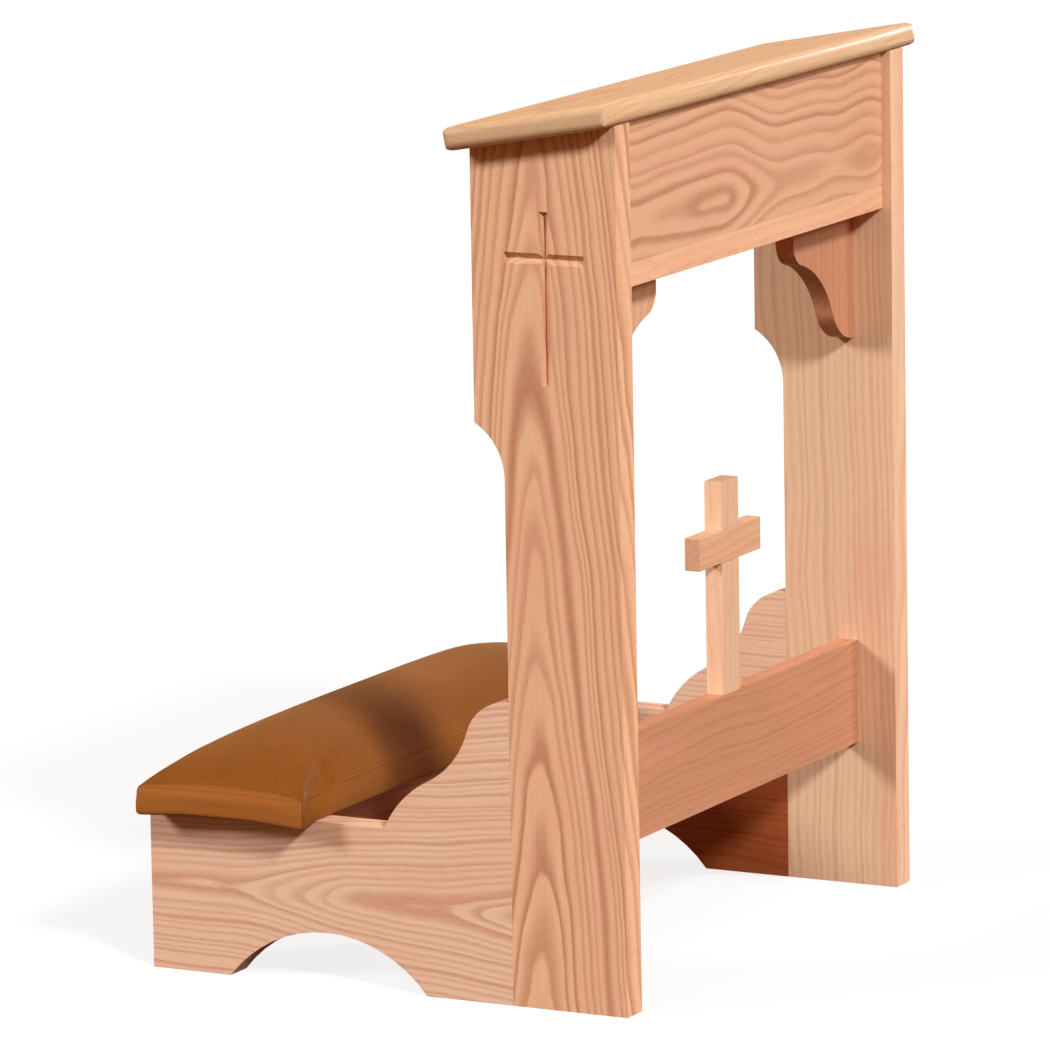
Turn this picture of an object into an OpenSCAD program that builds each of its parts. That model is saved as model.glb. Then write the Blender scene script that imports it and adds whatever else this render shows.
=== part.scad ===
// Kneeling bench (prie-dieu) in solid oak with an upholstered kneeler.
// Z is up. The front, where the apron is, faces -Y, and the person kneels at the +Y end.
// The origin is on the floor, under the middle of the bounding box.
// In the side outlines "depth" is the distance behind the front face of the uprights.

/* [Overall] */
// Width over the outer faces of the two side frames
side_width = 605; // [560:1:700]
// Length of each side frame along the floor
foot_depth = 498; // [470:1:540]
// Height of the underside of the top board at the front
front_height = 817; // [780:1:840]
// Thickness of the uprights and base boards
side_t = 29; // [25:1:32]
// Thickness of the rails, apron and brackets
rail_t = 19; // [18:1:21]

/* [Uprights] */
// Depth of the wide head of an upright
head_depth = 147; // [140:1:156]
// Depth of the narrow shank of an upright
shank_depth = 117; // [108:1:120]
// Radius of the cove between the head and the shank
shoulder_r = 58; // [52:1:64]
// Height of the centre of that cove
shoulder_z = 489; // [460:1:510]
// Length of the upright stroke of the carved cross
carving_tall = 158; // [120:1:170]
// Length of the cross stroke of the carved cross
carving_wide = 81; // [60:1:96]
// Width of the V-shaped cut of the carved cross
carving_cut = 10; // [5:0.5:12]

/* [Base boards] */
// Height of the flat part that carries the kneeler
base_height = 155; // [145:1:165]
// Radius of the rounded upper step in front of the kneeler
step_r = 44; // [40:1:46]
// Radius of the flatter lower step
low_step_r = 100; // [95:1:105]
// Radius of the hollow between the two steps
step_hollow_r = 82; // [76:1:95]
// Length of the arch in the bottom edge
arch_span = 208; // [160:1:220]
// Height of that arch
arch_rise = 50; // [35:1:60]

/* [Top board] */
// Thickness of the sloping top board
top_t = 22; // [20:1:24]
// Slope of the top board in degrees, falling towards the kneeler
top_slope = 10; // [8:0.5:12]
// How far the top board stands out over each side
top_side_over = 25; // [15:1:28]
// How far it stands out over the back of the heads
top_back_over = 14; // [6:1:20]
// Radius of its rounded edges
top_edge_r = 9; // [4:0.5:9.5]

/* [Apron, shelf and brackets] */
// Setback of the apron from the front of the uprights
apron_setback = 9; // [4:1:14]
// Height of the underside of the book shelf
shelf_z = 665; // [650:1:680]
// Thickness of the book shelf
shelf_t = 22; // [19:1:24]
// Setback of the brackets from the front of the uprights
bracket_setback = 41; // [35:1:55]

/* [Lower rail and standing cross] */
// Setback of the lower rail from the front of the uprights
rail_setback = 40; // [36:1:52]
// Height of the underside of the lower rail
rail_z = 141; // [125:1:150]
// Height of the lower rail itself
rail_height = 101; // [90:1:110]
// Height of the standing cross above the rail
cross_height = 203; // [180:1:230]
// Width of its post
post_w = 35; // [28:1:40]
// Length of its arm
arm_length = 128; // [100:1:150]
// Height of its arm
arm_height = 31; // [26:1:36]

/* [Kneeler] */
// Width of the kneeler pad
pad_width = 665; // [640:1:680]
// Depth of the kneeler pad
pad_depth = 176; // [165:1:186]
// Height of the pad at its edges
pad_edge = 24; // [20:1:30]
// Height of the pad in the middle
pad_height = 68; // [60:1:76]
// Thickness of the plywood under the foam
ply_t = 12; // [9:1:15]
// Thickness of the cover cloth
cover_t = 1.5; // [1:0.1:2]

/* [Hidden] */

$fn = 96;
play = 0.1;       // glue gap around dowels, screws and cloth
past = 1;         // how far a cut runs past the face it opens
far = 1000;       // larger than any part of the bench

oak = "#e6b18d";
plywood = "#d9b98c";
cloth = "#9a5a26";
foam = "#e8dfb8";
steel = "#9a9a9a";
beech = "#d8b07c";

// The row frame: depth 0 sits at front_y, so that the bounding box is centred on the origin.
top_front_over = 5;
top_front_line = -top_front_over + top_edge_r * (cos(top_slope) + sin(top_slope) - 1);
front_y = -(foot_depth + top_front_line) / 2;

outer_x = side_width / 2;
inner_x = outer_x - side_t;
inner_width = 2 * inner_x;
side_mid_x = outer_x - side_t / 2;
fall = tan(top_slope);

// The centre of a round hollow of radius r that touches two round bosses from outside.
function hollow_centre(c1, r1, c2, r2, r) =
    let(
        gap = norm(c2 - c1),
        along = (pow(r1 + r, 2) - pow(r2 + r, 2) + gap * gap) / (2 * gap),
        aside = sqrt(pow(r1 + r, 2) - along * along),
        u = (c2 - c1) / gap
    )
    c1 + along * u + aside * [-u[1], u[0]];

// The direction of v in degrees.
function heading(v) = atan2(v[1], v[0]);

// Points along a round stretch, from one heading to another.
function arc(centre, r, from, to, steps = 16) =
    [for (i = [0 : steps]) let(a = from + (to - from) * i / steps) centre + r * [cos(a), sin(a)]];

// Points along boss 1 from a heading, through the hollow that runs smoothly into both
// bosses, and along boss 2 to a heading.
function s_curve(c1, r1, from, c2, r2, to, r) =
    let(hollow = hollow_centre(c1, r1, c2, r2, r))
    concat(
        arc(c1, r1, from, heading(hollow - c1)),
        arc(hollow, r, heading(c1 - hollow), heading(c2 - hollow)),
        arc(c2, r2, heading(hollow - c2), to)
    );

// A rectangle from the origin with its corners rounded to r.
module rounded_rectangle(size, r) {
    translate([r, 0]) square([size[0] - 2 * r, size[1]]);
    translate([0, r]) square([size[0], size[1] - 2 * r]);
    for (x = [r, size[0] - r])
        for (y = [r, size[1] - r])
            translate([x, y]) circle(r);
}

function reverse(points) = [for (i = [len(points) - 1 : -1 : 0]) points[i]];

// Stands a side outline (depth, height) up as a board whose outer face is at x = 0 and
// which grows towards +X.
module side_board(t) {
    translate([0, front_y, 0]) rotate([90, 0, 90]) linear_extrude(t) children();
}

// Builds the left (-X) piece, or mirrors it to the right.
module on_side(side) {
    mirror([side > 0 ? 1 : 0, 0, 0]) children();
}

module both_sides() {
    for (side = [-1, 1]) on_side(side) children();
}

// ---- Dowels and screws --------------------------------------------------------------

dowel_r = 4;
dowel_chamfer = 1;

// A dowel along +Z, centred on the joint line.
module dowel(length) {
    rotate_extrude()
        polygon([
            [0, -length / 2],
            [dowel_r - dowel_chamfer, -length / 2],
            [dowel_r, -length / 2 + dowel_chamfer],
            [dowel_r, length / 2 - dowel_chamfer],
            [dowel_r - dowel_chamfer, length / 2],
            [0, length / 2]
        ]);
}

// The hole is deeper than the dowel at both ends, to leave room for glue.
module dowel_hole(length) {
    glue_room = 1;
    cylinder(h = length + 2 * glue_room, r = dowel_r + play, center = true);
}

// Each set of joints is written once and used for both the dowels and their holes.
base_dowel_z = [40, 125, 215];
base_dowel_length = 50;
module base_joints() {
    both_sides()
        for (z = base_dowel_z)
            translate([-side_mid_x, front_y + shank_depth, z]) rotate([90, 0, 0]) children();
}

cross_rail_dowel_length = 44;
module end_joint(depth, z) {
    both_sides() translate([-inner_x, front_y + depth, z]) rotate([0, 90, 0]) children();
}

module rail_joints() {
    for (share = [0.25, 0.75])
        end_joint(rail_setback + rail_t / 2, rail_z + share * rail_height) children();
}

apron_height_front = front_height - shelf_z - shelf_t;
module apron_joints() {
    for (share = [0.25, 0.75])
        end_joint(apron_setback + rail_t / 2, shelf_z + shelf_t + share * apron_height_front)
            children();
}

shelf_back_gap = 12;
shelf_depth = head_depth - apron_setback - shelf_back_gap;
module shelf_joints() {
    for (share = [0.25, 0.75])
        end_joint(apron_setback + share * shelf_depth, shelf_z + shelf_t / 2) children();
}

pad_back_gap = 3;
stretcher_height = 50;
stretcher_behind_pad_front = 40;
stretcher_depth = foot_depth - pad_back_gap - pad_depth + stretcher_behind_pad_front;
module stretcher_joints() {
    for (share = [0.25, 0.75])
        end_joint(stretcher_depth + rail_t / 2, base_height - share * stretcher_height)
            children();
}

bracket_width = 130;
bracket_height = 127;
bracket_dowel_drops = [25, 85];
module bracket_joints() {
    for (drop = bracket_dowel_drops)
        end_joint(bracket_setback + rail_t / 2, shelf_z - drop) children();
}

top_dowel_length = 28;
top_dowel_rise = 12;
top_dowel_inset = 30;
module top_joints() {
    both_sides()
        for (depth = [top_dowel_inset, head_depth - top_dowel_inset])
            translate([-side_mid_x, front_y + depth, front_height - depth * fall])
                rotate([-top_slope, 0, 0])
                    translate([0, 0, top_dowel_rise - top_dowel_length / 2])
                        children();
}

cross_dowel_length = 46;
module cross_joint() {
    translate([0, front_y + rail_setback + post_t / 2, rail_z + rail_height]) children();
}

screw_head_r = 4;
screw_shank_r = 2.1;
screw_head_h = 3;
screw_point = 5;

// The solid of a countersunk wood screw driven along +Z from its head at z = 0.
module screw_body(length, gap = 0) {
    rotate_extrude()
        polygon([
            [0, -gap],
            [screw_head_r + gap, -gap],
            [screw_shank_r + gap, screw_head_h],
            [screw_shank_r + gap, length - screw_point],
            [0, length + gap]
        ]);
}

module screw(length) {
    slot = 1.1;
    difference() {
        screw_body(length);
        for (turn = [0, 90])
            rotate(turn)
                cube([2 * screw_shank_r, slot, 2 * screw_shank_r], center = true);
    }
}

cleat = 20;
cleat_length = 100;
cleat_gap = 6;
cleat_depth = stretcher_depth + rail_t + cleat_gap;
cleat_screw_bite = 18;
cleat_screw_length = cleat + cleat_screw_bite;
kneeler_screw_bite = ply_t - 1;
kneeler_screw_length = cleat + kneeler_screw_bite;

// Screws up through each cleat into the kneeler board.
module kneeler_screw_places() {
    both_sides()
        for (share = [0.25, 0.75])
            translate([
                -inner_x + cleat / 2,
                front_y + cleat_depth + share * cleat_length,
                base_height - cleat
            ])
                children();
}

// Screws sideways through each cleat into its base board.
module cleat_screw_places() {
    both_sides()
        for (share = [0.1, 0.5, 0.9])
            translate([
                -inner_x + cleat,
                front_y + cleat_depth + share * cleat_length,
                base_height - cleat / 2
            ])
                rotate([0, -90, 0])
                    children();
}

// ---- Side frames --------------------------------------------------------------------

module upright_outline() {
    difference() {
        polygon([
            [0, 0],
            [head_depth, 0],
            [head_depth, front_height - head_depth * fall],
            [0, front_height]
        ]);
        translate([shank_depth, -past]) square([far, shoulder_z + past]);
        translate([shank_depth + shoulder_r, shoulder_z]) circle(shoulder_r);
    }
}

// One stroke of the carving: a V-shaped cut along +Z into the face at x = 0, chopped off square
// at both ends.
module v_stroke(length) {
    deep = carving_cut / 2;
    wide = deep + past;
    linear_extrude(length, center = true)
        polygon([[deep, 0], [-past, wide], [-past, -wide]]);
}

carving_drop = 81;
carving_top = front_height - carving_drop;
carving_arm_drop = 43;
module carved_cross() {
    translate([-outer_x, front_y + head_depth / 2, carving_top - carving_tall / 2])
        v_stroke(carving_tall);
    translate([-outer_x, front_y + head_depth / 2, carving_top - carving_arm_drop])
        rotate([90, 0, 0])
            v_stroke(carving_wide);
}

module upright(side) {
    color(oak)
        on_side(side)
            difference() {
                translate([-outer_x, 0, 0]) side_board(side_t) upright_outline();
                carved_cross();
                base_joints() dowel_hole(base_dowel_length);
                rail_joints() dowel_hole(cross_rail_dowel_length);
                apron_joints() dowel_hole(cross_rail_dowel_length);
                shelf_joints() dowel_hole(cross_rail_dowel_length);
                bracket_joints() dowel_hole(cross_rail_dowel_length);
                top_joints() dowel_hole(top_dowel_length);
            }
}

// Behind the upright the board comes down in two rounded steps to the flat under the kneeler.
module base_outline() {
    arch_behind_upright = 194;
    arch_r = (pow(arch_span / 2, 2) + arch_rise * arch_rise) / (2 * arch_rise);
    arch_centre = [shank_depth + arch_behind_upright, arch_rise - arch_r];
    arch_half_angle = asin(arch_span / 2 / arch_r);
    upper_step_run = 2;
    upper_step_rise = 84;
    low_step_run = 41;
    low_step_sink = 42;
    upper_step = [shank_depth + upper_step_run, base_height + upper_step_rise];
    low_step = [shank_depth + low_step_run, base_height - low_step_sink];
    flat_heading = asin(low_step_sink / low_step_r);
    polygon(concat(
        [[shank_depth, 0]],
        arc(arch_centre, arch_r, 90 + arch_half_angle, 90 - arch_half_angle),
        [[foot_depth, 0], [foot_depth, base_height]],
        reverse(s_curve(upper_step, step_r, 90, low_step, low_step_r, flat_heading,
                        step_hollow_r)),
        [[shank_depth, upper_step[1] + step_r]]
    ));
}

module base_board(side) {
    color(oak)
        on_side(side)
            difference() {
                translate([-outer_x, 0, 0]) side_board(side_t) base_outline();
                base_joints() dowel_hole(base_dowel_length);
                stretcher_joints() dowel_hole(cross_rail_dowel_length);
                cleat_screw_places() screw_body(cleat_screw_length, play);
            }
}

module upright_left() { upright(-1); }
module upright_right() { upright(1); }
module base_board_left() { base_board(-1); }
module base_board_right() { base_board(1); }

// ---- Top, apron and shelf -----------------------------------------------------------

// A slab from the origin with rounded edges and corners, as a router leaves it.
module routed_slab(size, r) {
    intersection() {
        linear_extrude(size[2]) rounded_rectangle([size[0], size[1]], r);
        rotate([90, 0, 90]) linear_extrude(size[0]) rounded_rectangle([size[1], size[2]], r);
        translate([0, size[1], 0]) rotate([90, 0, 0])
            linear_extrude(size[1])
                rounded_rectangle([size[0], size[2]], r);
    }
}

module top_board() {
    width = side_width + 2 * top_side_over;
    length = (top_front_over + head_depth + top_back_over) / cos(top_slope);
    color(oak)
        difference() {
            translate([-width / 2, front_y, front_height])
                rotate([-top_slope, 0, 0])
                    translate([0, -top_front_over / cos(top_slope), 0])
                        routed_slab([width, length, top_t], top_edge_r);
            top_joints() dowel_hole(top_dowel_length);
        }
}

// The apron's top edge is planed to the slope of the top board.
module apron_panel() {
    low = shelf_z + shelf_t;
    color(oak)
        difference() {
            translate([-inner_x, 0, 0])
                side_board(inner_width)
                    polygon([
                        [apron_setback, low],
                        [apron_setback + rail_t, low],
                        [apron_setback + rail_t, front_height - (apron_setback + rail_t) * fall],
                        [apron_setback, front_height - apron_setback * fall]
                    ]);
            apron_joints() dowel_hole(cross_rail_dowel_length);
        }
}

module book_shelf() {
    color(oak)
        difference() {
            translate([-inner_x, front_y + apron_setback, shelf_z])
                cube([inner_width, shelf_depth, shelf_t]);
            shelf_joints() dowel_hole(cross_rail_dowel_length);
        }
}

// The bracket's outline: x runs from the upright inwards, y is 0 under the shelf.
module bracket_outline() {
    nose_r = 23;
    nose_drop = 42;
    belly_r = 50;
    hollow_r = 100;
    nose = [bracket_width - nose_r, nose_r - nose_drop];
    belly = [0, belly_r - bracket_height];
    polygon(concat(
        [[0, 0], [bracket_width, 0]],
        s_curve(nose, nose_r, 0, belly, belly_r, -90, hollow_r)
    ));
}

module bracket(side) {
    color(oak)
        on_side(side)
            difference() {
                translate([-inner_x, front_y + bracket_setback + rail_t, shelf_z])
                    rotate([90, 0, 0])
                        linear_extrude(rail_t)
                            bracket_outline();
                bracket_joints() dowel_hole(cross_rail_dowel_length);
            }
}

module bracket_left() { bracket(-1); }
module bracket_right() { bracket(1); }

// ---- Lower rail and standing cross --------------------------------------------------

module lower_rail() {
    color(oak)
        difference() {
            translate([-inner_x, front_y + rail_setback, rail_z])
                cube([inner_width, rail_t, rail_height]);
            rail_joints() dowel_hole(cross_rail_dowel_length);
            cross_joint() dowel_hole(cross_dowel_length);
        }
}

// The cross is half-lapped: the post is notched in front and the arm behind, so that
// their fronts are flush.
post_t = 18;
arm_t = 16;
lap = 8;
arm_drop = 46;
arm_z = rail_z + rail_height + cross_height - arm_height - arm_drop;

module cross_post() {
    color(oak)
        difference() {
            translate([-post_w / 2, front_y + rail_setback, rail_z + rail_height])
                cube([post_w, post_t, cross_height]);
            translate([-post_w, front_y + rail_setback - past, arm_z])
                cube([2 * post_w, lap + past, arm_height]);
            cross_joint() dowel_hole(cross_dowel_length);
        }
}

module cross_arm() {
    color(oak)
        difference() {
            translate([-arm_length / 2, front_y + rail_setback, arm_z])
                cube([arm_length, arm_t, arm_height]);
            translate([-post_w / 2, front_y + rail_setback + lap, arm_z - past])
                cube([post_w, arm_t, arm_height + 2 * past]);
        }
}

// ---- Kneeler ------------------------------------------------------------------------

pad_mid_y = front_y + foot_depth - pad_back_gap - pad_depth / 2;
crown = pad_height - pad_edge;
end_roll = 120;

// Radius of an arc that drops by the crown over the given run.
function crown_radius(run) = (run * run + crown * crown) / (2 * crown);

// The crowned pad, shrunk by inset on every face: an arched cross-section along X, cut by
// a lengthwise outline that rolls down at both ends.
module pad_form(inset) {
    side_r = crown_radius(pad_depth / 2);
    end_r = crown_radius(end_roll);
    flat_x = pad_width / 2 - end_roll;
    translate([0, pad_mid_y, base_height])
        intersection() {
            translate([-pad_width / 2 + inset, 0, 0])
                rotate([90, 0, 90])
                    linear_extrude(pad_width - 2 * inset)
                        intersection() {
                            translate([inset - pad_depth / 2, inset])
                                square([pad_depth - 2 * inset, pad_height]);
                            translate([0, pad_height - side_r]) circle(side_r - inset, $fn = 180);
                        }
            translate([0, pad_depth / 2, 0])
                rotate([90, 0, 0])
                    linear_extrude(pad_depth)
                        union() {
                            translate([-flat_x, 0]) square([2 * flat_x, pad_height - inset]);
                            for (x = [-flat_x, flat_x])
                                intersection() {
                                    translate([x, pad_height - end_r])
                                        circle(end_r - inset, $fn = 180);
                                    translate([-pad_width / 2, 0]) square([pad_width, pad_height]);
                                }
                        }
        }
}

module kneeler_stretcher() {
    color(oak)
        difference() {
            translate([-inner_x, front_y + stretcher_depth, base_height - stretcher_height])
                cube([inner_width, rail_t, stretcher_height]);
            stretcher_joints() dowel_hole(cross_rail_dowel_length);
        }
}

module kneeler_cleats() {
    color(oak)
        difference() {
            both_sides()
                translate([-inner_x, front_y + cleat_depth, base_height - cleat])
                    cube([cleat, cleat_length, cleat]);
            kneeler_screw_places() screw_body(kneeler_screw_length, play);
            cleat_screw_places() screw_body(cleat_screw_length, play);
        }
}

board_inset = cover_t + play;
board_z = base_height + board_inset;
module kneeler_board() {
    color(plywood)
        difference() {
            translate([board_inset - pad_width / 2, board_inset - pad_depth / 2 + pad_mid_y, board_z])
                cube([pad_width - 2 * board_inset, pad_depth - 2 * board_inset, ply_t]);
            kneeler_screw_places() screw_body(kneeler_screw_length, play);
            staple_places() staple(play);
        }
}

module kneeler_foam() {
    color(foam)
        difference() {
            pad_form(board_inset);
            translate([-far / 2, -far / 2, 0]) cube([far, far, board_z + ply_t + play]);
        }
}

// The cloth goes over the foam, down the edges of the board and is folded in under it.
fold = 34;
module kneeler_cover() {
    color(cloth)
        difference() {
            pad_form(0);
            pad_form(cover_t);
            translate([fold - pad_width / 2, fold - pad_depth / 2 + pad_mid_y, 0])
                cube([pad_width - 2 * fold, pad_depth - 2 * fold, base_height + 2 * cover_t]);
            staple_places() staple(play);
            kneeler_screw_places() screw_body(kneeler_screw_length, play);
        }
}

staple_w = 10;
staple_leg = 6;
staple_wire = 1;
staple_pitch = 40;
staple_margin = 6;

// A staple driven upwards, with the underside of its crown at z = 0.
module staple(gap = 0) {
    translate([-staple_w / 2 - gap, -staple_wire / 2 - gap, -gap])
        cube([staple_w + 2 * gap, staple_wire + 2 * gap, staple_wire + gap]);
    for (side = [-1, 1])
        translate([side * (staple_w - staple_wire) / 2, 0, staple_leg / 2])
            cube([staple_wire, staple_wire, staple_leg] + 2 * gap * [1, 1, 1], center = true);
}

// Rows of staples along both long edges, clear of the base boards.
module staple_places() {
    count = floor((inner_width - 2 * cleat - 2 * staple_w) / staple_pitch);
    for (side = [-1, 1])
        for (i = [0 : count])
            translate([
                (i - count / 2) * staple_pitch,
                pad_mid_y + side * (pad_depth / 2 - fold + staple_margin),
                base_height
            ])
                children();
}

module cover_staples() { color(steel) staple_places() staple(); }
module kneeler_screws() { color(steel) kneeler_screw_places() screw(kneeler_screw_length); }
module cleat_screws() { color(steel) cleat_screw_places() screw(cleat_screw_length); }

// ---- Dowels -------------------------------------------------------------------------

module base_dowels() { color(beech) base_joints() dowel(base_dowel_length); }
module rail_dowels() { color(beech) rail_joints() dowel(cross_rail_dowel_length); }
module apron_dowels() { color(beech) apron_joints() dowel(cross_rail_dowel_length); }
module shelf_dowels() { color(beech) shelf_joints() dowel(cross_rail_dowel_length); }
module stretcher_dowels() { color(beech) stretcher_joints() dowel(cross_rail_dowel_length); }
module bracket_dowels() { color(beech) bracket_joints() dowel(cross_rail_dowel_length); }
module top_dowels() { color(beech) top_joints() dowel(top_dowel_length); }
module cross_dowel() { color(beech) cross_joint() dowel(cross_dowel_length); }

upright_left();
upright_right();
base_board_left();
base_board_right();
top_board();
apron_panel();
book_shelf();
bracket_left();
bracket_right();
lower_rail();
cross_post();
cross_arm();
kneeler_stretcher();
kneeler_cleats();
kneeler_board();
kneeler_foam();
kneeler_cover();
cover_staples();
kneeler_screws();
cleat_screws();
base_dowels();
rail_dowels();
apron_dowels();
shelf_dowels();
stretcher_dowels();
bracket_dowels();
top_dowels();
cross_dowel();
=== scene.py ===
"""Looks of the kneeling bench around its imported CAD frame: red oak boards, each with a grain of its
own, an upholstered kneeler pad, plain studio light and a camera. Metres, Z up, the front faces -Y."""
import math
from collections import namedtuple

import bmesh
import bpy
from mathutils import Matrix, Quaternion, Vector


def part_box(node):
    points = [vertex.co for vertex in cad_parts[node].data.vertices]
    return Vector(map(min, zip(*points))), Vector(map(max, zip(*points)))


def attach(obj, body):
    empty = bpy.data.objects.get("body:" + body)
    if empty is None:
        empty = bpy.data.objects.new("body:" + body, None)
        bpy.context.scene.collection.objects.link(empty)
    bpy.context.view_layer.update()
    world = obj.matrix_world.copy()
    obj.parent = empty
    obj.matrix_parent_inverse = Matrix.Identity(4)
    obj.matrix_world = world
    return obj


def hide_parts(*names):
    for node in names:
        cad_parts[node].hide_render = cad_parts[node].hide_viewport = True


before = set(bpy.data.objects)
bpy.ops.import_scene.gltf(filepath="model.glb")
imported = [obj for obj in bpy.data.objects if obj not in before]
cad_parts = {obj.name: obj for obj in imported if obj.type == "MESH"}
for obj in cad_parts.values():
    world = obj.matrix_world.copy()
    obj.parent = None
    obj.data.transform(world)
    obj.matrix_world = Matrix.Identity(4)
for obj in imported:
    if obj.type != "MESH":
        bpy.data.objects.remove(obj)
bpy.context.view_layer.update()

MM = 0.001
AXES = "xyz"


def screen(red, green, blue):
    """A colour as it should look on screen (0 to 255), as the linear RGBA that shaders use."""
    linear = []
    for value in (red, green, blue):
        share = value / 255
        linear.append(share / 12.92 if share <= 0.04045 else ((share + 0.055) / 1.055) ** 2.4)
    return (*linear, 1.0)


# ---- Shader building blocks ----------------------------------------------------------


class Graph:
    """A material's node tree, with short calls for the nodes that the patterns are made of."""

    def __init__(self, name, roughness=0.5, specular=0.3):
        self.material = bpy.data.materials.new(name)
        self.material.use_nodes = True
        self.nodes = self.material.node_tree.nodes
        self.links = self.material.node_tree.links
        self.shader = next(n for n in self.nodes if n.type == "BSDF_PRINCIPLED")
        self.shader.inputs["Roughness"].default_value = roughness
        self.shader.inputs["Specular IOR Level"].default_value = specular

    def feed(self, socket, value):
        if isinstance(value, bpy.types.NodeSocket):
            self.links.new(value, socket)
        else:
            socket.default_value = value

    def math(self, operation, *values):
        node = self.nodes.new("ShaderNodeMath")
        node.operation = operation
        for socket, value in zip(node.inputs, values):
            self.feed(socket, value)
        return node.outputs[0]

    def add(self, *values):
        total = values[0]
        for value in values[1:]:
            total = self.math("ADD", total, value)
        return total

    def times(self, *values):
        product = values[0]
        for value in values[1:]:
            product = self.math("MULTIPLY", product, value)
        return product

    def position(self):
        """Where the shaded point is, in the row frame, because every piece sits at the origin."""
        return self.split(self.nodes.new("ShaderNodeTexCoord").outputs["Object"])

    def normal(self):
        return self.split(self.nodes.new("ShaderNodeNewGeometry").outputs["Normal"])

    def split(self, vector):
        node = self.nodes.new("ShaderNodeSeparateXYZ")
        self.feed(node.inputs[0], vector)
        return dict(zip(AXES, node.outputs))

    def join(self, x, y, z):
        node = self.nodes.new("ShaderNodeCombineXYZ")
        for socket, value in zip(node.inputs, (x, y, z)):
            self.feed(socket, value)
        return node.outputs[0]

    def noise(self, vector, detail=2.0, roughness=0.5, channels=False):
        """Smooth noise from 0 to 1, or three independent channels of it."""
        node = self.nodes.new("ShaderNodeTexNoise")
        self.feed(node.inputs["Vector"], vector)
        node.inputs["Scale"].default_value = 1.0
        node.inputs["Detail"].default_value = detail
        node.inputs["Roughness"].default_value = roughness
        return self.split(node.outputs[1]) if channels else node.outputs[0]

    def spots(self, per_metre, detail=2.0):
        """Noise that is as fine in every direction."""
        place = self.position()
        return self.noise(self.join(*(self.times(place[axis], per_metre) for axis in AXES)), detail)

    def line_noise(self, value):
        """Smooth noise from 0 to 1 along one number."""
        node = self.nodes.new("ShaderNodeTexNoise")
        node.noise_dimensions = "1D"
        self.feed(node.inputs["W"], value)
        node.inputs["Scale"].default_value = 1.0
        node.inputs["Detail"].default_value = 1.0
        return node.outputs[0]

    def step(self, value, low, high, start=0.0, end=1.0):
        """Goes smoothly from start to end as value goes from low to high."""
        node = self.nodes.new("ShaderNodeMapRange")
        node.interpolation_type = "SMOOTHSTEP"
        for socket, number in zip(node.inputs, (value, low, high, start, end)):
            self.feed(socket, number)
        return node.outputs[0]

    def mix(self, share, first, second, blend="MIX"):
        node = self.nodes.new("ShaderNodeMix")
        node.data_type = "RGBA"
        node.blend_type = blend
        colours = [s for s in node.inputs if s.type == "RGBA"]
        self.feed(node.inputs[0], share)
        self.feed(colours[0], first)
        self.feed(colours[1], second)
        return next(s for s in node.outputs if s.type == "RGBA")

    def scaled(self, colour, factor):
        return self.mix(1.0, colour, self.join(factor, factor, factor), blend="MULTIPLY")

    def bump(self, height, depth):
        """Roughens the surface: height from 0 to 1 stands for depth metres."""
        node = self.nodes.new("ShaderNodeBump")
        node.inputs["Strength"].default_value = 1.0
        node.inputs["Distance"].default_value = depth
        self.feed(node.inputs["Height"], height)
        self.links.new(node.outputs[0], self.shader.inputs["Normal"])

    def paint(self, colour, roughness=None):
        self.feed(self.shader.inputs["Base Color"], colour)
        if roughness is not None:
            self.feed(self.shader.inputs["Roughness"], roughness)
        return self.material


# ---- Oak -----------------------------------------------------------------------------

# How a board was sawn from its log. axes names the directions of its grain, its width and its
# thickness. The log's heart lies off the board's middle by heart_across and heart_deep. The
# rings lean by taper along the grain, which draws the cathedral arches, and swell adds waves.
Board = namedtuple("Board", "axes heart_across heart_deep taper ring swell contrast light dark")

PALE = screen(233, 179, 138)
ROSY = screen(234, 189, 157)
WARM = screen(232, 177, 138)
TAN = screen(223, 179, 134)
CREAM = screen(233, 188, 150)
# Darker oak and its line colour: on the far bracket they are painted shade, on the rail a darker
# board with painted shade as well.
DARKER_OAK_AND_PAINTED_SHADE = screen(206, 142, 106)
LINE = screen(190, 124, 90)
ROSY_LINE = screen(204, 142, 114)
DARKER_LINE_AND_PAINTED_SHADE = screen(176, 106, 74)
# Painted shade: a dark oak for the stretcher that stands for the deep shade under the kneeler pad.
STRETCHER_PAINTED_SHADE = screen(164, 94, 60)
STRETCHER_PAINTED_SHADE_LINE = screen(134, 72, 44)

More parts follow.
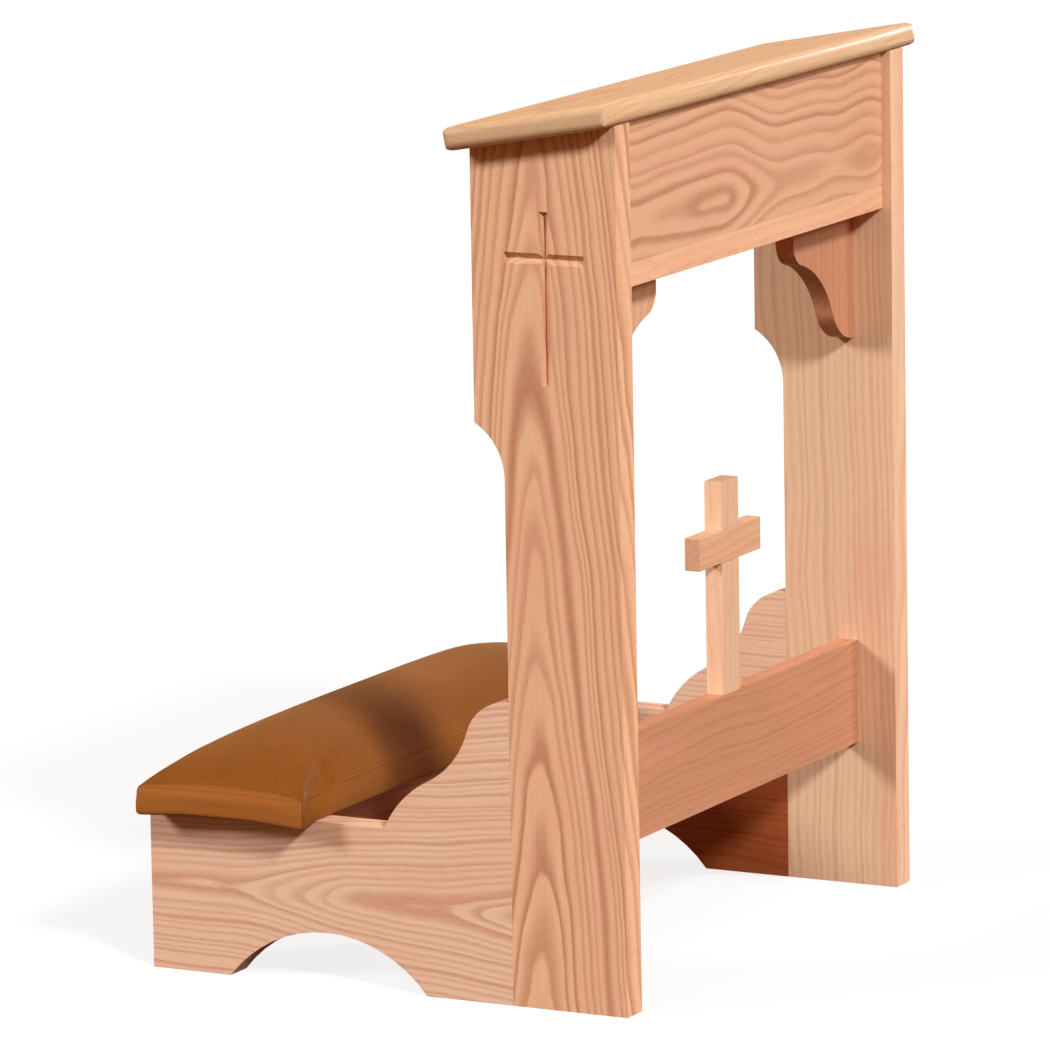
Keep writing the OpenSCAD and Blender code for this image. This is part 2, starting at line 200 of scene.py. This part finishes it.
BOARDS = {
    "upright_left": Board("zyx", 0.014, -0.039, 0.088, 7.4 * MM, 0.008, 0.95, PALE, LINE),
    "upright_right": Board("zyx", 0.110, 0.060, 0.020, 6.5 * MM, 0.010, 0.45, CREAM, ROSY_LINE),
    "base_board_left": Board("yzx", -0.057, -0.030, 0.105, 6.2 * MM, 0.022, 0.80, ROSY, ROSY_LINE),
    "base_board_right": Board("yzx", -0.150, 0.050, 0.030, 5.0 * MM, 0.008, 0.60, ROSY, ROSY_LINE),
    "top_board": Board("xzy", 0.120, 0.050, 0.030, 6.0 * MM, 0.012, 0.28, TAN, LINE),
    "apron_panel": Board("xzy", -0.030, -0.026, 0.050, 12.0 * MM, 0.060, 0.80, WARM, LINE),
    "book_shelf": Board("xyz", 0.060, 0.060, 0.010, 6.0 * MM, 0.010, 0.30, WARM, LINE),
    "bracket_left": Board("zxy", 0.060, 0.050, 0.040, 6.0 * MM, 0.006, 0.35, WARM, LINE),
    # Painted shade: the far bracket gets darker oak than the near one for the shade it stands in.
    "bracket_right": Board("zxy", -0.060, 0.050, 0.040, 7.0 * MM, 0.006, 0.35, DARKER_OAK_AND_PAINTED_SHADE, DARKER_LINE_AND_PAINTED_SHADE),
    # The rail's darker oak is partly a darker board and partly painted shade.
    "lower_rail": Board("xzy", 0.090, 0.070, 0.010, 6.0 * MM, 0.010, 0.35, DARKER_OAK_AND_PAINTED_SHADE, DARKER_LINE_AND_PAINTED_SHADE),
    "cross_post": Board("zxy", 0.050, 0.060, 0.020, 6.0 * MM, 0.004, 0.22, CREAM, ROSY_LINE),
    "cross_arm": Board("xzy", 0.040, 0.050, 0.030, 6.0 * MM, 0.004, 0.35, PALE, LINE),
    # Painted shade: the stretcher's wood is darkened for the shade under the pad.
    "kneeler_stretcher": Board("xzy", 0.080, 0.060, 0.020, 5.5 * MM, 0.008, 0.50, STRETCHER_PAINTED_SHADE, STRETCHER_PAINTED_SHADE_LINE),
    "kneeler_cleats": Board("yzx", 0.080, 0.060, 0.020, 5.5 * MM, 0.008, 0.50, DARKER_OAK_AND_PAINTED_SHADE, DARKER_LINE_AND_PAINTED_SHADE),
}

BLUSH = screen(226, 156, 126)

# How fine each pattern in the wood is, in repeats per metre along the grain, across it and deep.
DRIFT = (5.0, 14.0, 14.0)
FRAY = (28.0, 160.0, 160.0)
PORES = (90.0, 1500.0, 1500.0)
FIBRES = (9.0, 420.0, 420.0)
FLECKS = (150.0, 1100.0, 160.0)
BLOTCHES = (6.0, 26.0, 26.0)
WAVES = 4.5

WANDER_ACROSS = 12 * MM    # how far the log's heart wanders along a board
WANDER_DEEP = 16 * MM
RING_FRAY = 1.2 * MM
UNEVEN_RINGS = 1.4         # how much the width of the year rings varies, in rings
RINGS_PER_CHANGE = 0.45    # and how quickly it varies, per ring
EARLY_WOOD_END = 0.60      # where in a year's growth the dark early wood has faded
LATE_WOOD_END = 0.80       # and where the next year's starts to show
YEAR_SHIFT = 0.16          # a year's strength changes before its early wood starts to show
YEAR_VARIETY = 0.73        # how differently strong neighbouring years are
SEED_STEP = 7.3            # keeps the boards' patterns apart
PORE_DEPTH = 0.06 * MM


def oak(name, board):
    """Red oak: year rings round the log's heart, open pores, fibres, ray flecks and end grain."""
    graph = Graph(name, specular=0.25)
    low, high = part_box(name)
    middle = (low + high) / 2
    place = graph.position()
    along, across, deep = (
        graph.add(place[axis], -middle[AXES.index(axis)]) for axis in board.axes
    )
    seed = SEED_STEP * sorted(BOARDS).index(name)

    def grain(fineness, shift=0.0, **settings):
        """Noise that is drawn out along the grain."""
        return graph.noise(graph.join(graph.add(graph.times(along, fineness[0]), shift),
                                      graph.times(across, fineness[1]),
                                      graph.times(deep, fineness[2])), **settings)

    def around_zero(noise, size):
        return graph.times(graph.add(noise, -0.5), size)

    # The log is never quite straight: its rings wander slowly along the grain.
    drift = grain(DRIFT, seed, channels=True)
    out_across = graph.add(across, -board.heart_across, around_zero(drift["x"], WANDER_ACROSS))
    out_deep = graph.add(deep, -board.heart_deep, around_zero(drift["y"], WANDER_DEEP))
    radius = graph.math("SQRT", graph.add(graph.times(out_across, out_across),
                                          graph.times(out_deep, out_deep)))
    wave = graph.line_noise(graph.add(graph.times(along, WAVES), seed))
    lean = graph.add(graph.times(along, board.taper), around_zero(wave, board.swell))
    fray = around_zero(grain(FRAY, seed, detail=3.0, roughness=0.6), RING_FRAY)
    ring = graph.times(graph.add(radius, lean, fray), 1 / board.ring)
    change = graph.line_noise(graph.add(graph.times(ring, RINGS_PER_CHANGE), seed))
    ring = graph.add(ring, graph.times(change, UNEVEN_RINGS))

    # Each year starts with a sharp, dark, porous band that fades into the dense late wood.
    phase = graph.math("FRACT", ring)
    early = graph.add(graph.step(phase, 0.0, EARLY_WOOD_END, 1.0, 0.0),
                      graph.step(phase, LATE_WOOD_END, 1.0))
    year = graph.math("FLOOR", graph.add(ring, YEAR_SHIFT))
    strength = graph.step(graph.line_noise(graph.times(year, YEAR_VARIETY)), 0.3, 0.7, 0.35, 1.0)
    band = graph.times(early, strength)

    # Pores are short dark dashes along the grain, most of them in the early wood.
    pores = graph.step(grain(PORES, detail=1.0), 0.56, 0.70)
    pores = graph.times(pores, graph.add(0.25, graph.times(early, 0.75)))
    fibre = grain(FIBRES)
    flecks = graph.step(grain(FLECKS, detail=0.0), 0.68, 0.76)
    blotch = graph.step(grain(BLOTCHES, seed), 0.45, 0.75, 0.0, 0.35)

    # The ends show little of the rings and look darker; the sawn edges are a little paler, partly
    # edge grain and partly a painted highlight where light falls on them.
    normal = graph.normal()
    end_grain, sawn_edge_grain_and_highlight, _ = (graph.math("ABSOLUTE", normal[axis]) for axis in board.axes)
    calm = graph.step(end_grain, 0.5, 1.0, 1.0, 0.4)
    colour = graph.mix(graph.times(band, calm, board.contrast), board.light, board.dark)
    colour = graph.mix(blotch, colour, BLUSH)
    colour = graph.scaled(colour, graph.add(
        1.0, around_zero(fibre, 0.14), graph.times(pores, -0.14), graph.times(flecks, -0.08),
        graph.step(end_grain, 0.40, 1.0, 0.0, -0.16), graph.step(sawn_edge_grain_and_highlight, 0.80, 1.0, 0.0, 0.14)))

    graph.bump(graph.add(graph.times(pores, -0.6), graph.times(fibre, 0.3)), PORE_DEPTH)
    return graph.paint(colour, graph.add(0.46, graph.times(band, 0.10), graph.times(fibre, 0.10)))


# ---- Hidden parts' materials ---------------------------------------------------------


def beech(name):
    """Turned beech dowel: pale, close-grained, with fine flecks."""
    graph = Graph(name, roughness=0.5)
    flecks = graph.spots(700.0, detail=3.0)
    colour = graph.mix(graph.spots(120.0), screen(222, 184, 134), screen(196, 150, 102))
    colour = graph.mix(graph.step(flecks, 0.6, 0.7, 0.0, 0.5), colour, screen(170, 122, 80))
    graph.bump(flecks, 0.05 * MM)
    return graph.paint(colour)


def plywood(name):
    """Birch plywood: a veneer face, and dark and light layers across its edges."""
    layer = 1.5 * MM
    graph = Graph(name, roughness=0.55)
    place = graph.position()
    stripes = graph.math("FRACT", graph.times(place["z"], 1 / (2 * layer)))
    grain = graph.noise(graph.join(graph.times(place["x"], 14.0), graph.times(place["y"], 260.0),
                                   graph.times(place["z"], 260.0)), detail=3.0)
    face = graph.mix(grain, screen(226, 196, 150), screen(204, 168, 120))
    edge = graph.mix(graph.step(stripes, 0.45, 0.55), screen(214, 178, 128), screen(160, 116, 76))
    graph.bump(grain, 0.1 * MM)
    return graph.paint(graph.mix(graph.math("ABSOLUTE", graph.normal()["z"]), edge, face))


def foam_rubber(name):
    """Open-celled upholstery foam."""
    graph = Graph(name, roughness=0.9, specular=0.1)
    cells = graph.spots(900.0, detail=3.0)
    graph.bump(cells, 0.6 * MM)
    return graph.paint(graph.mix(cells, screen(206, 196, 150), screen(240, 232, 196)))


def zinc_steel(name):
    """Zinc-plated steel with a fine brushed dullness."""
    graph = Graph(name, specular=0.5)
    graph.shader.inputs["Metallic"].default_value = 1.0
    grit = graph.spots(1200.0)
    colour = graph.mix(grit, screen(150, 152, 156), screen(196, 198, 202))
    return graph.paint(colour, graph.step(grit, 0.3, 0.7, 0.28, 0.48))


# ---- Kneeler pad ---------------------------------------------------------------------

WEAVE_MAP = "weave"
THREAD = 1.9 * MM


def upholstery(name):
    """Plain-woven brown cloth: over-and-under threads, slubs and a soft sheen."""
    graph = Graph(name, roughness=0.85, specular=0.15)
    node = graph.nodes.new("ShaderNodeUVMap")
    node.uv_map = WEAVE_MAP
    thread = graph.split(node.outputs[0])
    warp = graph.times(thread["x"], 1 / THREAD)
    weft = graph.times(thread["y"], 1 / THREAD)

    def patches(along, across, plane):
        """Noise over the cloth, in repeats per thread; each plane has a pattern of its own."""
        return graph.noise(graph.join(graph.times(warp, along), graph.times(weft, across), plane))

    warp_hump = graph.math("ABSOLUTE", graph.math("SINE", graph.times(warp, math.pi)))
    weft_hump = graph.math("ABSOLUTE", graph.math("SINE", graph.times(weft, math.pi)))
    square = graph.math("FLOORED_MODULO", graph.add(graph.math("FLOOR", warp),
                                                    graph.math("FLOOR", weft)), 2.0)
    warp_on_top = graph.times(warp_hump, graph.math("SQRT", weft_hump))
    weft_on_top = graph.times(weft_hump, graph.math("SQRT", warp_hump))
    height = graph.add(graph.times(square, warp_on_top),
                       graph.times(graph.math("SUBTRACT", 1.0, square), weft_on_top))
    slubs = patches(0.12, 1.3, 0.0)
    tufts = patches(0.9, 0.9, 4.0)
    wear = patches(0.02, 0.02, 9.0)
    # Painted light: the pad's ends, facing sideways, are painted lighter.
    pad_end_painted_light = graph.step(graph.math("ABSOLUTE", graph.normal()["x"]), 0.6, 0.95, 0.0, 0.45)
    colour = graph.mix(height, screen(110, 58, 10), screen(152, 85, 20))
    colour = graph.mix(graph.step(slubs, 0.5, 0.8, 0.0, 0.35), colour, screen(168, 97, 28))
    colour = graph.mix(graph.step(tufts, 0.30, 0.70, 0.0, 0.50), colour, screen(113, 60, 11))
    colour = graph.mix(graph.step(wear, 0.4, 0.7, 0.0, 0.22), colour, screen(162, 96, 30))
    colour = graph.mix(pad_end_painted_light, colour, screen(186, 110, 48))
    graph.shader.inputs["Sheen Weight"].default_value = 0.25
    graph.shader.inputs["Sheen Roughness"].default_value = 0.45
    graph.shader.inputs["Sheen Tint"].default_value = screen(214, 160, 110)
    graph.bump(graph.add(graph.times(height, 0.6), graph.times(tufts, 0.8)), 0.22 * MM)
    return graph.paint(colour)


# ---- Dressing the CAD nodes ----------------------------------------------------------


BOARD_EASE = 0.8 * MM      # radius of a board's sanded edges
WELD_WITHIN = 0.01 * MM
FLAT_WITHIN = math.radians(0.4)
SHARP_FROM = math.radians(30)


def dress(name, material, ease=0.0):
    """Gives a CAD node its material and, for a wooden board, slightly eased edges."""
    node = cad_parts[name]
    node.data.materials.clear()
    node.data.materials.append(material)
    if not ease:
        return
    weld = node.modifiers.new("weld", "WELD")
    weld.merge_threshold = WELD_WITHIN
    flat = node.modifiers.new("merge_flat", "DECIMATE")
    flat.decimate_type = "DISSOLVE"
    flat.angle_limit = FLAT_WITHIN
    bevel = node.modifiers.new("eased_edges", "BEVEL")
    bevel.width = ease
    bevel.segments = 2
    bevel.limit_method = "ANGLE"
    bevel.angle_limit = SHARP_FROM
    bevel.harden_normals = True


for board_name, board in BOARDS.items():
    dress(board_name, oak(board_name, board), ease=BOARD_EASE)

for node_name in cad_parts:
    if node_name.endswith(("_dowels", "_dowel")):
        dress(node_name, beech(node_name))
    elif node_name.endswith(("_screws", "_staples")):
        dress(node_name, zinc_steel(node_name))

dress("kneeler_board", plywood("kneeler_board"))

# ---- Shape of the kneeler pad --------------------------------------------------------

PAD_EDGE = 23 * MM
PAD_LIFT = 0.4 * MM        # keeps the cloth just clear of the boards and shows the staples
EDGE_ROUND = 4 * MM
PAD_EASE = 1 * MM          # keeps the cloth clear of the plywood's corners
CLOTH = 1.0 * MM
FOLD = 34 * MM             # how far the cloth is folded in under the board
CELLS = (112, 36, 8)       # mesh cells along the pad's width, depth and edge height
MOST_SWELL = 6 * MM
SWELL_ROOM = 4.8 * MM      # how much lower than the CAD pad the cloth starts
CORNER_HANG = 4.5 * MM     # how far the folded cloth hangs down at the four corners
CORNER_REACH = (28 * MM, 52 * MM)
CROWDING = 0.3             # how much closer the mesh lines lie at the pad's edges
END_RISE = (3.5, 0.54)     # powers that shape the crown towards the pad's ends
SIDE_RISE = (2, 0.7)       # and towards its long sides
TACK_HOLD = 0.5            # how firmly the cloth is held halfway up the edge
STUFFING_FRAMES = 20
SEAM_DEPTH = 0.9 * MM      # the top seam sinks in and the corner seams stand out by this
FOAM_SLACK = 2.2 * MM      # how far the foam keeps inside the cloth
FOAM_LIFT = 0.1 * MM


def spread(share):
    """Places mesh lines from -1 to 1 for share from 0 to 1, closer together near the ends."""
    t = 2 * share - 1
    return t * (1 + CROWDING - CROWDING * t * t)


def crown_share(x, y):
    """The pad's rise above its edge, from 0 to 1, with x and y from -1 to 1 over its plan."""
    rise = 1.0
    for share, (flatness, roundness) in ((x, END_RISE), (y, SIDE_RISE)):
        rise *= max(0.0, 1 - abs(share) ** flatness) ** roundness
    return rise


def pad_mesh(low, high):
    """A closed form of square cells: flat below, upright at the edges and crowned on top. Its
    vertex groups say what is tacked to the board and where the seams run."""
    half = (high - low) / 2
    middle = (high + low) / 2
    columns, rows, levels = CELLS
    crown = high.z - low.z - PAD_EDGE - SWELL_ROOM
    places, index, faces, weaves = [], {}, [], []

    def flat_place(i, j, k):
        x, y = spread(i / columns), spread(j / rows)
        z = PAD_EDGE * k / levels
        if k == levels:
            z += crown * crown_share(x, y)
        return Vector((x * half.x, y * half.y, z))

    def place(i, j, k):
        point = flat_place(i, j, k)
        limit_x, limit_y = half.x - EDGE_ROUND, half.y - EDGE_ROUND
        core = Vector((max(-limit_x, min(limit_x, point.x)), max(-limit_y, min(limit_y, point.y)),
                       max(EDGE_ROUND, point.z)))
        out = point - core
        if out.length > 0:
            point = core + out * (EDGE_ROUND / out.length)
        near_x = max(0.0, 1 - (half.x - abs(point.x)) / CORNER_REACH[0])
        near_y = max(0.0, 1 - (half.y - abs(point.y)) / CORNER_REACH[1])
        hang = CORNER_HANG * near_x * near_y * (1 - k / levels)
        return point + Vector((middle.x, middle.y, low.z + PAD_LIFT - hang))

    def vertex(key):
        if key not in index:
            index[key] = len(places)
            places.append(place(*key))
        return index[key]

    def cell(keys, weave):
        faces.append([vertex(key) for key in keys])
        weaves.extend(weave(flat_place(*key)) for key in keys)

    for i in range(columns):
        for j in range(rows):
            corners = [(i, j), (i + 1, j), (i + 1, j + 1), (i, j + 1)]
            cell([(a, b, levels) for a, b in corners], lambda p: (p.x, p.y))
            cell([(a, b, 0) for a, b in reversed(corners)], lambda p: (p.x, p.y))
    for k in range(levels):
        for i in range(columns):
            for j, order in ((0, 1), (rows, -1)):
                keys = [(i, j, k), (i + 1, j, k), (i + 1, j, k + 1), (i, j, k + 1)]
                cell(keys[::order], lambda p: (p.x, p.z))
        for j in range(rows):
            for i, order in ((0, -1), (columns, 1)):
                keys = [(i, j, k), (i, j + 1, k), (i, j + 1, k + 1), (i, j, k + 1)]
                cell(keys[::order], lambda p: (p.y, p.z))

    mesh = bpy.data.meshes.new("kneeler_pad")
    mesh.from_pydata(places, [], faces)
    weave_map = mesh.uv_layers.new(name=WEAVE_MAP)
    weave_map.uv.foreach_set("vector", [number for pair in weaves for number in pair])
    pad = bpy.data.objects.new("kneeler_pad", mesh)
    bpy.context.scene.collection.objects.link(pad)
    tacked = pad.vertex_groups.new(name="tacked")
    top_seam = pad.vertex_groups.new(name="top_seam")
    corner_seam = pad.vertex_groups.new(name="corner_seam")
    for (i, j, k), number in index.items():
        if k <= 1:
            tacked.add([number], 1.0, "REPLACE")
        elif k <= levels // 2:
            tacked.add([number], TACK_HOLD, "REPLACE")
        on_edge = i in (0, columns) or j in (0, rows)
        if k == levels and on_edge:
            top_seam.add([number], 1.0, "REPLACE")
        if i in (0, columns) and j in (0, rows) and k > 0:
            corner_seam.add([number], 1.0, "REPLACE")
    return pad


def bake_modifiers(item):
    """Replaces an object's mesh by what its modifiers make of it."""
    graph = bpy.context.evaluated_depsgraph_get()
    shaped = bpy.data.meshes.new_from_object(item.evaluated_get(graph),
                                             preserve_all_data_layers=True, depsgraph=graph)
    item.modifiers.clear()
    item.data = shaped


def stuff(pad):
    """Pulls the cloth tight over the stuffing by simulation: the pad swells between its seams."""
    start = [v.co.copy() for v in pad.data.vertices]
    cloth = pad.modifiers.new("stuffing", "CLOTH")
    cloth.settings.quality = 6
    cloth.settings.mass = 0.3
    cloth.settings.tension_stiffness = 15
    cloth.settings.compression_stiffness = 15
    cloth.settings.shear_stiffness = 8
    cloth.settings.bending_stiffness = 1.0
    cloth.settings.effector_weights.gravity = 0
    cloth.settings.use_pressure = True
    cloth.settings.uniform_pressure_force = 4
    cloth.settings.vertex_group_mass = "tacked"
    cloth.settings.pin_stiffness = 2
    cloth.point_cache.frame_start = 1
    cloth.point_cache.frame_end = STUFFING_FRAMES
    for moment in range(1, STUFFING_FRAMES + 1):
        bpy.context.scene.frame_set(moment)
    bake_modifiers(pad)
    bpy.context.scene.frame_set(1)
    for vertex, before in zip(pad.data.vertices, start):
        move = vertex.co - before
        if move.length > MOST_SWELL:
            vertex.co = before + move * (MOST_SWELL / move.length)


def raise_by(item, group, height):
    """Lifts the vertices of a group along their normals, in proportion to their weight."""
    displace = item.modifiers.new(group, "DISPLACE")
    displace.direction = "NORMAL"
    displace.mid_level = 0.0
    displace.strength = height
    displace.vertex_group = group


def open_below(pad, low, high):
    """Cuts the cloth away under the board, inside the fold where it is stapled."""
    facing_down = -0.9
    shell = bmesh.new()
    shell.from_mesh(pad.data)
    inside = [
        face for face in shell.faces
        if face.normal.z < facing_down
        and low.x + FOLD < face.calc_center_median().x < high.x - FOLD
        and low.y + FOLD < face.calc_center_median().y < high.y - FOLD
    ]
    bmesh.ops.delete(shell, geom=inside, context="FACES")
    shell.to_mesh(pad.data)
    shell.free()


def stuffing_foam(pad):
    """The foam block inside: the cloth's inner form, shrunk a little and flat on the plywood."""
    board_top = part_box("kneeler_board")[1].z
    foam = bpy.data.objects.new("kneeler_foam_block", pad.data.copy())
    bpy.context.scene.collection.objects.link(foam)
    low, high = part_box("kneeler_cover")
    middle = (low + high) / 2
    half = (high - low) / 2
    for vertex in foam.data.vertices:
        vertex.co.x = middle.x + (vertex.co.x - middle.x) * (1 - FOAM_SLACK / half.x)
        vertex.co.y = middle.y + (vertex.co.y - middle.y) * (1 - FOAM_SLACK / half.y)
        vertex.co.z = max(board_top + FOAM_LIFT, vertex.co.z - FOAM_SLACK)
    foam.data.materials.clear()
    foam.data.materials.append(foam_rubber("foam"))
    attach(foam, "root")
    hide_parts("kneeler_foam")


def kneeler_pad():
    low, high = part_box("kneeler_cover")
    ease = Vector((PAD_EASE, PAD_EASE, 0))
    pad = pad_mesh(low - ease, high + ease)
    stuff(pad)
    smooth = pad.modifiers.new("rounded", "SUBSURF")
    smooth.levels = 1
    smooth.render_levels = 1
    raise_by(pad, "top_seam", -SEAM_DEPTH)
    raise_by(pad, "corner_seam", SEAM_DEPTH)
    bake_modifiers(pad)
    stuffing_foam(pad)
    open_below(pad, low, high)
    thick = pad.modifiers.new("cloth_thickness", "SOLIDIFY")
    thick.thickness = CLOTH
    thick.offset = -1.0
    pad.data.materials.clear()
    pad.data.materials.append(upholstery("upholstery"))
    pad.data.polygons.foreach_set("use_smooth", [True] * len(pad.data.polygons))
    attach(pad, "root")
    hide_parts("kneeler_cover")


kneeler_pad()

# ---- Stage ---------------------------------------------------------------------------


WHITE = (1.0, 1.0, 1.0, 1.0)
COOL_LIGHT = (0.92, 1.0, 1.06)


def floor_material():
    """To the camera a white floor with faint shadows; to everything else a dark, warm one."""
    glow = 0.82
    graph = Graph("floor", roughness=0.9, specular=0.0)
    seen = graph.nodes.new("ShaderNodeLightPath").outputs["Is Camera Ray"]
    graph.shader.inputs["Emission Color"].default_value = WHITE
    graph.feed(graph.shader.inputs["Emission Strength"], graph.times(seen, glow))
    return graph.paint(graph.mix(seen, screen(104, 76, 52), screen(122, 122, 122)))


def floor():
    half = 30.0
    mesh = bpy.data.meshes.new("floor")
    mesh.from_pydata([(-half, -half, 0), (half, -half, 0), (half, half, 0), (-half, half, 0)],
                     [], [(0, 1, 2, 3)])
    mesh.materials.append(floor_material())
    item = bpy.data.objects.new("floor", mesh)
    bpy.context.scene.collection.objects.link(item)


def lamp(name, towards, strength, softness_degrees):
    """A distant lamp of slightly cool light that shines in the direction towards."""
    data = bpy.data.lights.new(name, "SUN")
    data.energy = strength
    data.color = COOL_LIGHT
    data.angle = math.radians(softness_degrees)
    item = bpy.data.objects.new(name, data)
    item.rotation_mode = "QUATERNION"
    item.rotation_quaternion = Vector(towards).to_track_quat("-Z", "Y")
    bpy.context.scene.collection.objects.link(item)


def gel(colour):
    """A see-through filter that lets light pass in its own colour."""
    material = bpy.data.materials.new("gel")
    material.use_nodes = True
    nodes, links = material.node_tree.nodes, material.node_tree.links
    clear = nodes.new("ShaderNodeBsdfTransparent")
    clear.inputs["Color"].default_value = colour
    output = next(n for n in nodes if n.type == "OUTPUT_MATERIAL")
    links.new(clear.outputs[0], output.inputs["Surface"])
    return material


def filter_card():
    """A gel, unseen by the camera, that shades the far base board under the rail. It touches
    the board where the upright ends and leans away from it towards the kneeler."""
    board_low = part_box("base_board_right")[0]
    reach, lean, height = 200 * MM, 60 * MM, 130 * MM
    start = (board_low.x, board_low.y)
    end = (board_low.x - lean, board_low.y + reach)
    mesh = bpy.data.meshes.new("filter_card")
    mesh.from_pydata([(*start, 0), (*end, 0), (*end, height), (*start, height)],
                     [], [(0, 1, 2, 3)])
    mesh.materials.append(gel(screen(180, 116, 82)))
    item = bpy.data.objects.new("filter_card", mesh)
    item.visible_camera = False
    bpy.context.scene.collection.objects.link(item)


def surroundings(glow):
    """A white room to the camera, which fills the bench's shadows with the weak light glow."""
    world = bpy.data.worlds.new("studio")
    bpy.context.scene.world = world
    world.use_nodes = True
    nodes, links = world.node_tree.nodes, world.node_tree.links
    background = next(n for n in nodes if n.type == "BACKGROUND")
    seen = nodes.new("ShaderNodeLightPath").outputs["Is Camera Ray"]
    tint = nodes.new("ShaderNodeMix")
    tint.data_type = "RGBA"
    unseen, white = [s for s in tint.inputs if s.type == "RGBA"]
    unseen.default_value = (*glow, 1.0)
    white.default_value = WHITE
    links.new(seen, tint.inputs[0])
    links.new(next(s for s in tint.outputs if s.type == "RGBA"), background.inputs["Color"])


def camera():
    """The camera stands at the left, slightly in front, and looks down a little."""
    azimuth, elevation, roll = (math.radians(a) for a in (-62.11, 10.42, -0.98))
    distance = 7.702
    aim = Vector((-0.009, 0.005, 0.388))
    back = Vector((math.sin(azimuth) * math.cos(elevation),
                   -math.cos(azimuth) * math.cos(elevation), math.sin(elevation)))
    data = bpy.data.cameras.new("camera")
    data.lens = 279.2
    data.sensor_width = 36.0
    item = bpy.data.objects.new("camera", data)
    item.location = aim + distance * back
    item.rotation_mode = "QUATERNION"
    item.rotation_quaternion = Quaternion(back, roll) @ (-back).to_track_quat("-Z", "Y")
    bpy.context.scene.collection.objects.link(item)
    bpy.context.scene.camera = item


floor()
filter_card()
lamp("front_light", (1.0, 1.5, -1.25), 2.75, 8.0)
lamp("rear_light", (1.0, -1.0, -0.75), 1.9, 14.0)
lamp("side_light", (-0.3, 1.0, -0.45), 0.9, 12.0)
lamp("far_light", (-1.0, 0.0, -0.08), 1.7, 14.0)
surroundings((0.30, 0.17, 0.10))
camera()
bpy.context.scene.view_settings.view_transform = "Standard"
